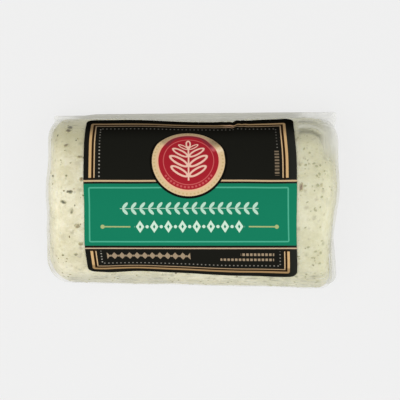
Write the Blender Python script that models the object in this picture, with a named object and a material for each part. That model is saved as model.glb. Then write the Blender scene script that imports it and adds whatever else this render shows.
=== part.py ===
"""A soft goat cheese log with herbs, vacuum sealed in clear film, with a printed label wrapped over its front.

Blender 4.5, metres, +Z up. The log lies on its back with the label up: +X runs along the log, +Y is the side
where the film's seal lip stands out, and the origin is the centre of the base. Run it with
blender --background --python part.py, or from Blender's text editor.

Two solids: sealed_pack is the log in its tight film, with the film's seal lip all round low on its wall, and
label is the printed sheet that lies over it from the front to the back.
"""

import math

import bmesh
import bpy
from mathutils import Vector, noise

MM = 0.001

# The log inside its tight film
LOG_LENGTH = 81.1 * MM
HALF_WIDTH = 23.4 * MM
FRONT_RISE = 20.2 * MM
BACK_DEPTH = 16.3 * MM
FLATTENED_BY = 0.8 * MM
FRONT_POWER = 1.95
BACK_POWER = 2.5
END_ROUNDING = 4.4 * MM
END_BULGE = 0.5 * MM
WIDER_TO_THE_RIGHT = 0.35 * MM
SIDE_DRIFT = 0.55 * MM
RIGHT_END_SLANT = 1.7 * MM
LUMP_HEIGHT = 0.45 * MM
LUMP_SPACING = 13.0 * MM
END_LUMP_HEIGHT = 0.8 * MM
SECTION_HEIGHT = BACK_DEPTH - FLATTENED_BY

# Pleats where the film gathers towards the lip at the two ends
PLEAT_DEPTH = 0.35 * MM
PLEATS_ROUND = 26
PLEAT_TOP = 19.0 * MM
RELIEF_FADE = 2.5 * MM

# The seal lip: two films welded together. It stands out on +Y and half out at the front right corner, and
# elsewhere it is folded down against the wall
LIP_THICKNESS = 0.6 * MM
LIP_HEIGHT = 8.0 * MM
LIP_SAG = 0.6 * MM
LIP_FOLDED_LENGTH = 5.0 * MM
LIP_FOLD_OUT = 0.75 * MM
LIP_EDGE_OUT = 0.45 * MM
LIP_FOLDED_DEPTH = 1.7 * MM
LIP_ROOT_DEPTH = 1.6 * MM
LIP_WAVES = ((7, 0.28 * MM), (13, 0.22 * MM), (23, 0.16 * MM))
LIP_CORNERS = (
    (-39.4 * MM, 25.4 * MM, 0.8 * MM),
    (41.3 * MM, 26.2 * MM, 0.8 * MM),
    (40.4 * MM, -23.0 * MM, 4.0 * MM),
    (-41.1 * MM, -21.4 * MM, 6.0 * MM),
)
LOOSE_CORNER = LIP_CORNERS[2]
LOOSE_CORNER_REACH = 9.0 * MM
LOOSE_CORNER_SHARE = 0.75
ROOT_HALF_LENGTH = LOG_LENGTH / 2 - LIP_ROOT_DEPTH
ROOT_HALF_WIDTH = 21.8 * MM - LIP_ROOT_DEPTH
ROOT_CORNER = 3.5 * MM

# The label, a printed sheet that follows the film
LABEL_LEFT = -30.0 * MM
LABEL_RIGHT = 28.9 * MM
LABEL_BACK_EDGE = 79.0
LABEL_FRONT_EDGE = -60.0
LABEL_CORNER = 2.0 * MM
LABEL_THICKNESS = 0.4 * MM
LABEL_GAP = 0.3 * MM

# How finely the solids are cut
SECTION_STEPS = 64
BODY_STEPS = 24
ROUNDING_STEPS = 5
CAP_RINGS = (0.3, 0.62, 0.86)
LABEL_STEPS_ALONG = 30
LABEL_STEPS_ROUND = 30
LABEL_CORNER_ROWS = (0.0, 0.25, 0.6, 1.1, 2.0)
LIP_STEPS_LONG = 34
LIP_STEPS_SHORT = 20
LIP_STEPS_CORNER = 4

CHEESE_IN_FILM = ((0.83, 0.80, 0.62), 0.35)
LABEL_PRINT = ((0.06, 0.23, 0.16), 0.4)


def smooth_step(low, high, value):
    """0 below low, 1 above high, and an S-curve between them."""
    t = min(1.0, max(0.0, (value - low) / (high - low)))
    return t * t * (3 - 2 * t)


def signed_power(value, power):
    return math.copysign(abs(value) ** power, value)


def section_shape(angle):
    """Unit cross-section at an angle from +Y towards +Z: elliptical in front, squarer and flatter at the back."""
    c, s = math.cos(angle), math.sin(angle)
    power = FRONT_POWER if s >= 0 else BACK_POWER
    return signed_power(c, 2 / power), signed_power(s, 2 / power)


def lump(x, angle):
    """Soft unevenness of the cheese under the film."""
    place = Vector((x / LUMP_SPACING, 1.6 * math.cos(angle), 1.6 * math.sin(angle) + 7.0))
    return LUMP_HEIGHT * noise.noise(place)


def end_wall_relief(angle, height, ring):
    """How far an end wall stands out: its lumps, and the gathers that rise from the lip and fade out above it."""
    place = Vector((3.0, ring * math.cos(angle), ring * math.sin(angle)))
    lumps = END_LUMP_HEIGHT * noise.noise(place * 1.7)
    fade = 1 - smooth_step(LIP_HEIGHT, PLEAT_TOP, height)
    ripple = math.cos(PLEATS_ROUND * angle + 1.3 * math.sin(3 * angle))
    gathers = PLEAT_DEPTH * ripple * fade * smooth_step(0.5, 1.0, ring)
    return lumps + gathers + END_BULGE * (1 - ring * ring)


def end_slant(along, y):
    """How far the right end is cut back towards the front."""
    return RIGHT_END_SLANT * smooth_step(0.55, 1.0, along) * smooth_step(4 * MM, -12 * MM, y)


def film_point(x, inset, angle, ring=1.0):
    """A point of the film. inset rounds the ends off, and ring below 1 closes the end wall.

    Below the lip an end wall stays flat, because the folded lip lies against it there.
    """
    along = x / (LOG_LENGTH / 2)
    across, up = section_shape(angle)
    half_width = HALF_WIDTH + WIDER_TO_THE_RIGHT * along
    depth = FRONT_RISE if up >= 0 else BACK_DEPTH
    grown = lump(x, angle) * ring
    y = across * (half_width - inset + grown) * ring - SIDE_DRIFT * along
    z = up * (depth - inset + grown) * ring + SECTION_HEIGHT
    z = max(z, 0.0)
    above_lip = smooth_step(LIP_HEIGHT, LIP_HEIGHT + RELIEF_FADE, z)
    pushed = end_wall_relief(angle, z, ring) * smooth_step(0.9, 1.0, abs(along)) * above_lip
    return Vector((x - end_slant(along, y) + pushed * math.copysign(1, x), y, z))


def inside_log(x, y, z):
    """Whether a point below the widest section lies inside the log, its lumps left out."""
    half = LOG_LENGTH / 2
    x += end_slant(x / half, y)
    if abs(x) >= half:
        return False
    past = max(0.0, abs(x) - half + END_ROUNDING)
    inset = END_ROUNDING - math.sqrt(END_ROUNDING**2 - past**2)
    across = (y + SIDE_DRIFT * x / half) / (HALF_WIDTH + WIDER_TO_THE_RIGHT * x / half - inset)
    up = (z - SECTION_HEIGHT) / (BACK_DEPTH - inset)
    return abs(across) ** BACK_POWER + abs(up) ** BACK_POWER < 1


def body_stations():
    """(x, inset, ring) of each ring from the left end wall to the right one."""
    half = LOG_LENGTH / 2
    straight = half - END_ROUNDING
    end = []
    for ring in CAP_RINGS:
        end.append((half, END_ROUNDING, ring))
    for i in range(ROUNDING_STEPS):
        turn = math.radians(90) * (1 - i / ROUNDING_STEPS)
        x = straight + END_ROUNDING * math.sin(turn)
        end.append((x, END_ROUNDING * (1 - math.cos(turn)), 1.0))
    left = [(-x, inset, ring) for x, inset, ring in end]
    middle = []
    for i in range(BODY_STEPS + 1):
        middle.append((-straight + 2 * straight * i / BODY_STEPS, 0.0, 1.0))
    return left + middle + end[::-1]


def mesh_object(name, bm, finish):
    """A named object from a bmesh, smooth-shaded, with its own material."""
    bmesh.ops.recalc_face_normals(bm, faces=bm.faces)
    mesh = bpy.data.meshes.new(name)
    bm.to_mesh(mesh)
    bm.free()
    mesh.shade_smooth()
    mesh.set_sharp_from_angle(angle=math.radians(40))
    colour, roughness = finish
    material = bpy.data.materials.new(name)
    material.use_nodes = True
    shader = material.node_tree.nodes["Principled BSDF"]
    shader.inputs["Base Color"].default_value = (*colour, 1.0)
    shader.inputs["Roughness"].default_value = roughness
    shader.inputs["Metallic"].default_value = 0.0
    mesh.materials.append(material)
    obj = bpy.data.objects.new(name, mesh)
    bpy.context.scene.collection.objects.link(obj)
    return obj


def bridge(bm, first, second):
    """Quads between two closed rows of the same number of vertices."""
    count = len(first)
    for i in range(count):
        j = (i + 1) % count
        bm.faces.new((first[i], first[j], second[j], second[i]))


def build_log():
    """The log in its tight film, as rings along X closed by a fan at each end."""
    bm = bmesh.new()
    stations = body_stations()
    angles = [2 * math.pi * i / SECTION_STEPS for i in range(SECTION_STEPS)]
    rings = []
    for x, inset, ring in stations:
        rings.append([bm.verts.new(film_point(x, inset, a, ring)) for a in angles])
    for first, second in zip(rings, rings[1:]):
        bridge(bm, first, second)
    for row in (rings[0], rings[-1]):
        centre = sum((v.co for v in row), Vector()) / len(row)
        centre.x += math.copysign(END_BULGE * CAP_RINGS[0] ** 2, centre.x)
        pole = bm.verts.new(centre)
        for i, v in enumerate(row):
            bm.faces.new((v, row[(i + 1) % len(row)], pole))
    return mesh_object("sealed_pack", bm, CHEESE_IN_FILM)


def outline(corners):
    """Points round a four-cornered outline with rounded corners, from (x, y, radius), clockwise from back left.

    Every outline gets the same number of points on each side and corner, so that two of them pair up.
    """
    count = len(corners)
    centres = []
    for i, (x, y, radius) in enumerate(corners):
        here = Vector((x, y))
        to_last = (Vector(corners[i - 1][:2]) - here).normalized()
        to_next = (Vector(corners[(i + 1) % count][:2]) - here).normalized()
        half_angle = to_last.angle(to_next) / 2
        centre = here + (to_last + to_next).normalized() * radius / math.sin(half_angle)
        start = here + to_last * radius / math.tan(half_angle)
        end = here + to_next * radius / math.tan(half_angle)
        centres.append((centre, start, end, radius))
    points = []
    for i, (centre, start, end, radius) in enumerate(centres):
        for k in range(LIP_STEPS_CORNER):
            share = k / LIP_STEPS_CORNER
            direction = (start - centre).lerp(end - centre, share).normalized()
            points.append(centre + direction * radius)
        steps = LIP_STEPS_LONG if i % 2 == 0 else LIP_STEPS_SHORT
        following = centres[(i + 1) % count][1]
        points += [end.lerp(following, k / steps) for k in range(steps)]
    return points


def lip_root():
    """The lip's inner outline, inside the log where the two films meet."""
    half_x, half_y = ROOT_HALF_LENGTH, ROOT_HALF_WIDTH
    signs = ((-1, 1), (1, 1), (1, -1), (-1, -1))
    return outline([(sx * half_x, sy * half_y, ROOT_CORNER) for sx, sy in signs])


def wall_distance(start, direction, height):
    """How far a point in the log is from its wall, level along a direction, at a height below the middle."""
    near, far = 0.0, 12 * MM
    for _ in range(20):
        middle = (near + far) / 2
        place = start + direction * middle
        if inside_log(place.x, place.y, height):
            near = middle
        else:
            far = middle
    return near


def standing_share(place):
    """1 where the lip stands out, 0 where it is folded down against the wall."""
    at_back = smooth_step(20.5 * MM, 24.0 * MM, place.y)
    from_corner = (place - Vector(LOOSE_CORNER[:2])).length
    at_corner = LOOSE_CORNER_SHARE * smooth_step(LOOSE_CORNER_REACH, LOOSE_CORNER[2] / 2, from_corner)
    return max(at_back, at_corner)


def lip_profile(inner, outer, wave):
    """The lip's section as (distance out, height) pairs: over its top, round its edge and back underneath."""
    reach = (outer - inner).length
    direction = (outer - inner).normalized()
    share = standing_share(outer)
    half = LIP_THICKNESS / 2
    steps = (0.12, 0.55, 1.0)
    folded, standing = [], []
    for step in steps:
        z = LIP_HEIGHT - LIP_FOLDED_LENGTH * step + wave * step
        out = wall_distance(inner, direction, z) + LIP_FOLD_OUT + (LIP_EDGE_OUT - LIP_FOLD_OUT) * step
        folded.append((out, z))
        standing.append((reach * (0.5 + 0.5 * step), LIP_HEIGHT - LIP_SAG * step + wave * step))
    top, under = [(0.0, LIP_HEIGHT + half)], [(0.0, LIP_HEIGHT - half)]
    for (fold_out, fold_z), (stand_out, stand_z) in zip(folded, standing):
        out = fold_out + (stand_out - fold_out) * share
        z = fold_z + (stand_z - fold_z) * share
        top.append((out, z + half * share))
        under.append((out - LIP_FOLDED_DEPTH * (1 - share), z - half * share))
    return top + under[::-1]


def build_lip():
    """The seal lip as one closed band round the log, rooted inside it."""
    bm = bmesh.new()
    root, edge = lip_root(), outline(LIP_CORNERS)
    sections = []
    for i, (inner, outer) in enumerate(zip(root, edge)):
        turn = 2 * math.pi * i / len(edge)
        wave = sum(height * math.sin(count * turn + count) for count, height in LIP_WAVES)
        direction = (outer - inner).normalized()
        section = []
        for out, z in lip_profile(inner, outer, wave):
            place = inner + direction * out
            section.append(bm.verts.new((place.x, place.y, z)))
        sections.append(section)
    for first, second in zip(sections, sections[1:] + sections[:1]):
        bridge(bm, first, second)
    return mesh_object("lip", bm, CHEESE_IN_FILM)


def weld_on(base, other):
    """Joins another closed mesh to base with a Boolean union, applies it and removes the other."""
    joined = base.modifiers.new("weld", "BOOLEAN")
    joined.operation = "UNION"
    joined.solver = "EXACT"
    joined.object = other
    graph = bpy.context.evaluated_depsgraph_get()
    mesh = bpy.data.meshes.new_from_object(base.evaluated_get(graph))
    base.modifiers.remove(joined)
    base.data = mesh
    bpy.data.objects.remove(other)


def label_point(x, angle, lift):
    """A point at a height above the film, for an angle in degrees from +Z towards +Y."""
    turn = math.radians(90 - angle)
    here = film_point(x, 0.0, turn)
    along = film_point(x + 0.2 * MM, 0.0, turn) - film_point(x - 0.2 * MM, 0.0, turn)
    round_it = film_point(x, 0.0, turn + 0.01) - film_point(x, 0.0, turn - 0.01)
    return here + round_it.cross(along).normalized() * lift


def label_rows():
    """The label's rows from its front edge to its back edge, as (angle, how much shorter the row is at each end)."""
    round_length = math.radians(LABEL_BACK_EDGE - LABEL_FRONT_EDGE) * HALF_WIDTH
    degrees = (LABEL_BACK_EDGE - LABEL_FRONT_EDGE) / round_length
    near = [d * MM for d in LABEL_CORNER_ROWS]
    rows = []
    for distance in near:
        shorter = LABEL_CORNER - math.sqrt(LABEL_CORNER**2 - (LABEL_CORNER - distance) ** 2)
        rows.append((LABEL_FRONT_EDGE + distance * degrees, shorter))
    back = [(LABEL_BACK_EDGE + LABEL_FRONT_EDGE - a, s) for a, s in reversed(rows)]
    first, last = rows[-1][0], back[0][0]
    steps = LABEL_STEPS_ROUND - 2 * len(near)
    middle = [(first + (last - first) * k / steps, 0.0) for k in range(1, steps)]
    return rows + middle + back


def build_label():
    """The printed sheet, as a grid at two heights joined round its rim."""
    bm = bmesh.new()
    sheets = []
    for lift in (LABEL_GAP, LABEL_GAP + LABEL_THICKNESS):
        grid = []
        for angle, shorter in label_rows():
            left, right = LABEL_LEFT + shorter, LABEL_RIGHT - shorter
            xs = [left + (right - left) * k / LABEL_STEPS_ALONG for k in range(LABEL_STEPS_ALONG + 1)]
            grid.append([bm.verts.new(label_point(x, angle, lift)) for x in xs])
        sheets.append(grid)
    for grid in sheets:
        for first, second in zip(grid, grid[1:]):
            for k in range(LABEL_STEPS_ALONG):
                bm.faces.new((first[k], first[k + 1], second[k + 1], second[k]))
    rims = []
    for grid in sheets:
        right_side = [row[-1] for row in grid[1:-1]]
        left_side = [row[0] for row in grid[1:-1]]
        rims.append(grid[0] + right_side + grid[-1][::-1] + left_side[::-1])
    bridge(bm, *rims)
    return mesh_object("label", bm, LABEL_PRINT)


def main():
    for obj in list(bpy.data.objects):
        bpy.data.objects.remove(obj)
    pack = build_log()
    weld_on(pack, build_lip())
    build_label()


main()
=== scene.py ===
"""The looks of a soft goat cheese log with herbs, sealed in clear film under a printed wrap label.

Everything is in metres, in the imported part's frame: +X along the log, +Z up out of the label. The log's
section and the seal lip follow the solids' own formulas. The dips and wrinkles of the film, the herbs and the
print are added here.
"""

import math

import bmesh
import bpy
from mathutils import Matrix, Vector, noise


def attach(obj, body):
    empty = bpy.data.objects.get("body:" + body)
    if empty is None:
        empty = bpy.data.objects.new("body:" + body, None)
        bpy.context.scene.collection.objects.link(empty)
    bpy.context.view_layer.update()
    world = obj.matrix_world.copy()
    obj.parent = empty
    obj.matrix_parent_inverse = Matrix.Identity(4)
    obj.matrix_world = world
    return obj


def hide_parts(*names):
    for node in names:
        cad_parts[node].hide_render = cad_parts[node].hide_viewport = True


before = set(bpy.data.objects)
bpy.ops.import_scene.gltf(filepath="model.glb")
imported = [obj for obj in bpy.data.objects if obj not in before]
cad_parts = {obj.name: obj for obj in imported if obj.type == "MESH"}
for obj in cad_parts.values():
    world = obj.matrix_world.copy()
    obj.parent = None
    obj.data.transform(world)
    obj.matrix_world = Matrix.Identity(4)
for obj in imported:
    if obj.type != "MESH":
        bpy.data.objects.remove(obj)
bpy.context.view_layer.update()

MM = 0.001

# The log's form, as in the solids
HALF_LENGTH = 40.55 * MM
HALF_WIDTH = 23.4 * MM
FRONT_RISE = 20.2 * MM
BACK_DEPTH = 16.3 * MM
SECTION_HEIGHT = 15.5 * MM
FRONT_POWER = 1.95
BACK_POWER = 2.5
END_ROUNDING = 4.4 * MM
END_BULGE = 0.5 * MM
WIDER_TO_THE_RIGHT = 0.35 * MM
SIDE_DRIFT = 0.55 * MM
RIGHT_END_SLANT = 1.7 * MM
LUMP_HEIGHT = 0.45 * MM
LUMP_SPACING = 13.0 * MM
END_LUMP_HEIGHT = 0.8 * MM
PLEAT_DEPTH = 0.35 * MM
PLEATS_ROUND = 26
PLEAT_TOP = 19.0 * MM
RELIEF_FADE = 2.5 * MM

# Dips and ridges that the photo shows, as (middle, spread, height) in mm. Those of the pucker and the crease
# are measured across its line, those of the left end across the log, and the others along it
PUCKER_RIDGES = ((1.1, 0.7, 0.3), (-0.3, 0.8, -0.26), (2.9, 0.7, 0.16), (-2.2, 0.9, -0.14))
CREASE_RIDGES = ((-0.6, 0.6, 0.26), (0.5, 0.6, -0.32))
FRONT_DIPS = ((-26, 3, 0.2), (-17, 5, -0.3), (8, 4, -0.15))
BRIM_BULGES = ((-15, 7, 0.22), (14, 6, 0.25), (33, 4, 0.25))
LEFT_END_HOLLOWS = ((13, 8, 0.5), (-4, 4, 0.4))

# Where the pucker and the crease run: mm along the log, and degrees from its top
PUCKER_PLACE = (12.2, 66.0)
PUCKER_LEAN = 0.09
CREASE_PLACE = (6.0, 48.5)
CREASE_LEAN = 1.33
CREASE_STRETCH = 1.66
MM_TO_THE_DEGREE = 0.39

# The left front corner is rounder than the others by this share, and the right front one squarer
FRONT_CORNER_CHANGE = 0.4

# The seal lip, as in the solids, in thinner film
LIP_THICKNESS = 0.22 * MM
LIP_HEIGHT = 8.0 * MM
LIP_SAG = 0.6 * MM
LIP_FOLDED_LENGTH = 5.0 * MM
LIP_FOLD_OUT = 0.42 * MM
LIP_EDGE_OUT = 0.15 * MM
LIP_ROOT_DEPTH = 1.6 * MM
LIP_WAVES = ((7, 0.28 * MM), (13, 0.22 * MM), (23, 0.16 * MM))
LIP_CORNERS = (
    (-39.4 * MM, 24.85 * MM, 0.8 * MM),
    (40.95 * MM, 25.65 * MM, 0.8 * MM),
    (41.0 * MM, -23.6 * MM, 2.8 * MM),
    (-41.1 * MM, -21.4 * MM, 6.0 * MM),
)
LIP_DROP_AT_LEFT = 0.35 * MM
LOOSE_CORNER = LIP_CORNERS[2]
LOOSE_CORNER_REACH = 27.0 * MM
LOOSE_CORNER_SHARE = 0.95
ROOT_HALF_LENGTH = HALF_LENGTH - LIP_ROOT_DEPTH
ROOT_HALF_WIDTH = 21.8 * MM - LIP_ROOT_DEPTH
ROOT_CORNER = 3.5 * MM
LIP_STEPS_LONG = 220
LIP_STEPS_SHORT = 120
LIP_STEPS_CORNER = 10

# The cheese lies just under the film, and stops short of it at the ends
CHEESE_SHORT_OF_END = 0.8 * MM
CHEESE_END_ROUNDING = 5.0 * MM
CHEESE_SHELL = {"short": CHEESE_SHORT_OF_END, "rounding": CHEESE_END_ROUNDING, "under": 0.2 * MM}
CRUMB_HEIGHT = 0.07 * MM
CRUMB_SPACING = 1.1 * MM

# The printed sheet, flat: x from its middle, and the way round the log from its lower gold line
LABEL_THICKNESS = 0.14 * MM
LABEL_LIFT = 0.2 * MM
LABEL_HALF = 29.45
LABEL_BOTTOM = -10.36
LABEL_TOP = 41.9
LABEL_CORNER = 2.3
BADGE_PLACE = (-0.45, 24.88)
UPPER_LINE = 19.07
GREEN_BOTTOM = 0.87
GREEN_TOP = 18.31
PRINT_MIDDLE = -0.4
GARLAND_ROW = 11.5
LOZENGE_ROW = 6.45
SAW_ROW = -2.85
SAW_MIDDLE = -12.1
LABEL_LEFT_X = -30.05 * MM
LABEL_RIGHT_X = 28.82 * MM
FRAME_MIDDLE = -0.45
FRAME_HALF = 29.15
FRAME_TOP = 40.8
LOWER_LINE_Y = -12.64 * MM

# The folds of the film over the back right corner run round one point, at these radii: radius, spread, height
FOLD_MIDDLE = (31.7 * MM, 14.5 * MM)
FOLD_WAVES = ((6.8, 0.6, 1.0), (9.2, 0.5, 0.6), (8.1, 0.5, -0.8), (5.2, 0.6, -1.0))
FOLD_HEIGHT = 0.18 * MM

# The painted shade lines between those folds, in mm: radius, half width, soft edge, how far right of the
# point each is gone and still full, and how dark it is
FOLD_SHADE_LINES = (
    (8.15, 0.3, 0.5, 4.5, 2.5, 0.42),
    (5.2, 0.5, 0.7, 5.5, 3.0, 0.54),
    (6.0, 0.2, 0.4, 1.0, -1.0, 0.3),
    (3.6, 0.6, 1.4, 5.0, 2.0, 0.16),
)

# Herbs under the cheese's surface: cells to the metre, the chance under which a cell stays bare, how strong
# they are, and how much of its cell a fleck takes up
SUNKEN_HERBS = ((430.0, 0.60, 0.40, 0.42), (760.0, 0.58, 0.28, 0.40), (260.0, 0.74, 0.28, 0.38))

# The herb clumps that stand out: mm along the log, degrees from its top, half length and half width in mm,
# tilt, how dark they are, and how brown
HERB_CLUMPS = (
    (-34.3, 61.8, 0.74, 0.88, 20, 1.0, 0.2),
    (-34.7, 57.6, 0.72, 0.80, 12, 1.0, 0.3),
    (-35.3, 42.2, 0.76, 0.48, 30, 0.75, 0.2),
    (-31.3, 32.3, 0.72, 0.42, 5, 0.7, 0.3),
    (-30.7, 15.3, 0.48, 0.42, 80, 0.85, 1.0),
    (-33.8, 6.3, 0.78, 0.44, -5, 0.95, 0.0),
    (-35.7, -1.4, 0.80, 0.44, -22, 0.95, 0.0),
    (-33.4, -8.3, 0.58, 0.36, 80, 0.7, 0.0),
    (-31.7, -18.7, 0.66, 0.55, 10, 0.75, 0.8),
    (-30.9, -32.5, 0.60, 0.50, 0, 0.7, 0.8),
    (-32.3, -41.4, 0.55, 0.44, 0, 0.7, 0.0),
    (35.6, 13.1, 0.48, 0.34, 70, 0.5, 0.0),
    (30.0, 11.5, 1.20, 0.50, 78, 0.8, 1.0),
)

# The camera looks straight down from above the log
CAMERA_PLACE = (2.1 * MM, 0.56 * MM, 865.5 * MM)
VIEW_WIDTH = 112.8 * MM
VIEW_DISTANCE = 850 * MM
SENSOR_WIDTH = 36.0
FLOOR_GLOW = 0.86
SKY_STRENGTH = 0.42
KEY_POWER = 10.5
SIDE_POWER = 2.7
LIGHTS_AIM = Vector((0.0, 0.0, 0.02))


def smooth_step(low, high, value):
    """0 below low, 1 above high, and an S-curve between them."""
    t = min(1.0, max(0.0, (value - low) / (high - low)))
    return t * t * (3 - 2 * t)


def hump(centre, spread, value):
    """1 at the centre, falling off to 0 a few spreads away."""
    return math.exp(-(((value - centre) / spread) ** 2))


def ridges(table, value):
    """The height of a row of humps, from (middle, spread, height)."""
    return sum(height * hump(middle, spread, value) for middle, spread, height in table)


def signed_power(value, power):
    return math.copysign(abs(value) ** power, value)


def section_shape(turn):
    """Unit cross-section at an angle from +Y towards +Z."""
    c, s = math.cos(turn), math.sin(turn)
    power = FRONT_POWER if s >= 0 else BACK_POWER
    return signed_power(c, 2 / power), signed_power(s, 2 / power)


def lump(x, turn):
    """Soft unevenness of the cheese under the film."""
    place = Vector((x / LUMP_SPACING, 1.6 * math.cos(turn), 1.6 * math.sin(turn) + 7.0))
    return LUMP_HEIGHT * noise.noise(place)


def degrees_from_top(turn):
    """Degrees from the top of the section, more than 0 at the back and less at the front."""
    from_top = 90 - math.degrees(turn)
    return from_top + 360 if from_top < -180 else from_top


def dents(x, turn):
    """Dips and puckers that the film, the cheese and the label share."""
    from_top = degrees_from_top(turn)
    along = x / MM
    swell = 0.9 * smooth_step(11, 31, along) - 0.7 * smooth_step(31, 38, along)
    back = swell - 0.05 - 0.15 * hump(2.5, 9, along)
    back *= smooth_step(35, 75, from_top) * smooth_step(150, 105, from_top)
    pucker = ridges(PUCKER_RIDGES, along - PUCKER_PLACE[0] - PUCKER_LEAN * (from_top - PUCKER_PLACE[1]))
    pucker *= smooth_step(48, 62, from_top) * smooth_step(110, 90, from_top)
    from_crease = (from_top - CREASE_PLACE[1]) * MM_TO_THE_DEGREE + (along - CREASE_PLACE[0]) * CREASE_LEAN
    crease = ridges(CREASE_RIDGES, from_crease / CREASE_STRETCH) * hump(7.2, 2.2, along)
    front = ridges(FRONT_DIPS, along) * smooth_step(-38, -62, from_top) * smooth_step(-88, -72, from_top)
    brim = ridges(BRIM_BULGES, along) * smooth_step(-72, -88, from_top) * smooth_step(-170, -120, from_top)
    return (back + pucker + crease + front + brim) * MM


def end_wall_relief(turn, height, ring):
    """How far an end wall stands out: its lumps, and the gathers that rise from the lip and fade out."""
    place = Vector((3.0, ring * math.cos(turn), ring * math.sin(turn)))
    lumps = END_LUMP_HEIGHT * noise.noise(place * 1.7)
    fade = 1 - smooth_step(LIP_HEIGHT, PLEAT_TOP, height)
    ripple = math.cos(PLEATS_ROUND * turn + 1.3 * math.sin(3 * turn))
    gathers = PLEAT_DEPTH * ripple * fade * smooth_step(0.5, 1.0, ring)
    return lumps + gathers + END_BULGE * (1 - ring * ring)


def end_slant(along, y):
    """How far the right end is cut back towards the front."""
    return RIGHT_END_SLANT * smooth_step(0.55, 1.0, along) * smooth_step(4 * MM, -12 * MM, y)


def corner_rounding(x, across, rounding):
    """The rounding of an end at a place across the log, which changes at the two front corners."""
    change = FRONT_CORNER_CHANGE * smooth_step(-0.5, -0.95, across)
    return rounding * (1 - change if x > 0 else 1 + change)


def left_end_hollows(x, y):
    """How far the left end is drawn in at two places."""
    return ridges(LEFT_END_HOLLOWS, y / MM) * MM * smooth_step(-30 * MM, -38 * MM, x)


def shell_point(x, turn, ring=1.0, short=0.0, rounding=END_ROUNDING, under=0.0, grown=0.0):
    """A point of the film, or of a shell under it that stops short of the ends, with its own rounding."""
    along = x / HALF_LENGTH
    across, up = section_shape(turn)
    rounding = corner_rounding(x, across, rounding)
    past = min(rounding, max(0.0, abs(x) - (HALF_LENGTH - short - rounding)))
    inset = rounding - math.sqrt(rounding**2 - past**2) + under
    grown += lump(x, turn) + dents(x, turn)
    half_width = HALF_WIDTH + WIDER_TO_THE_RIGHT * along
    depth = FRONT_RISE if up >= 0 else BACK_DEPTH
    y = across * (half_width - inset + grown * ring) * ring - SIDE_DRIFT * along
    z = up * (depth - inset + grown * ring) * ring + SECTION_HEIGHT
    z = max(z, under)
    above_lip = smooth_step(LIP_HEIGHT, LIP_HEIGHT + RELIEF_FADE, z)
    end_share = smooth_step(0.9, 1.0, abs(x) / (HALF_LENGTH - short))
    pushed = end_wall_relief(turn, z, ring) * end_share * above_lip
    drawn = left_end_hollows(x, y) - end_slant(along, y)
    return Vector((x + drawn + pushed * math.copysign(1, x), y, z))


def stations(short, rounding, middle_step, end_step, cap_rings):
    """(x, ring) of each ring of a shell from the left end wall to the right one, finer near the ends."""
    half = HALF_LENGTH - short
    straight = half - rounding
    end = [(half, ring) for ring in cap_rings]
    steps = max(6, round(1.5 * rounding / end_step))
    for i in range(steps):
        end.append((straight + rounding * math.sin(math.radians(90) * (1 - i / steps)), 1.0))
    fine_from = 27 * MM
    x = straight
    while x > fine_from:
        end.append((x, 1.0))
        x -= end_step
    count = round(2 * x / middle_step)
    middle = [(-x + 2 * x * i / count, 1.0) for i in range(count + 1)]
    left = [(-x_end, ring) for x_end, ring in end]
    return left + middle + end[::-1]


def in_scene(name, data):
    """A new object in the scene, at the origin."""
    obj = bpy.data.objects.new(name, data)
    bpy.context.scene.collection.objects.link(obj)
    return obj


def finished(name, bm, material):
    """A smooth mesh object at the origin, with its material."""
    bmesh.ops.recalc_face_normals(bm, faces=bm.faces)
    mesh = bpy.data.meshes.new(name)
    bm.to_mesh(mesh)
    bm.free()
    mesh.shade_smooth()
    mesh.materials.append(material)
    return in_scene(name, mesh)


def bridge(bm, first, second):
    """Quads between two closed rows of the same number of vertices."""
    count = len(first)
    for i in range(count):
        j = (i + 1) % count
        bm.faces.new((first[i], first[j], second[j], second[i]))


def closed_shell(places, steps, point):
    """A closed mesh through a ring of points at each place (x, ring), with a fan at each end."""
    bm = bmesh.new()
    turns = [2 * math.pi * i / steps for i in range(steps)]
    rows = [[bm.verts.new(point(x, turn, ring)) for turn in turns] for x, ring in places]
    for first, second in zip(rows, rows[1:]):
        bridge(bm, first, second)
    for row in (rows[0], rows[-1]):
        pole = bm.verts.new(sum((v.co for v in row), Vector()) / len(row))
        for i, v in enumerate(row):
            bm.faces.new((v, row[(i + 1) % len(row)], pole))
    return bm


# Shader maths: a value wraps a socket, and an expression on values adds its nodes


class Value:
    """A number that varies over a surface."""

    def __init__(self, nodes, socket):
        self.nodes = nodes
        self.socket = socket

    def math(self, operation, *others):
        inputs = {0: self}
        for i, other in enumerate(others):
            inputs[i + 1] = other
        return self.nodes.add("ShaderNodeMath", {"operation": operation}, inputs)

    def __add__(self, other):
        return self.math("ADD", other)

    __radd__ = __add__

    def __sub__(self, other):
        return self.math("SUBTRACT", other)

    def __rsub__(self, other):
        return self.nodes.add("ShaderNodeMath", {"operation": "SUBTRACT"}, {0: other, 1: self})

    def __mul__(self, other):
        return self.math("MULTIPLY", other)

    __rmul__ = __mul__

    def __truediv__(self, other):
        return self.math("DIVIDE", other)

    def __abs__(self):
        return self.math("ABSOLUTE")

    def least(self, other):
        return self.math("MINIMUM", other)

    def most(self, other):
        return self.math("MAXIMUM", other)

    def from_to(self, low, high):
        """0 at low and 1 at high, with an S-curve between. High may be the smaller one."""
        if low > high:
            return 1 - self.from_to(high, low)
        inputs = {"Value": self, "From Min": low, "From Max": high}
        return self.nodes.add("ShaderNodeMapRange", {"interpolation_type": "SMOOTHSTEP"}, inputs)


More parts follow.
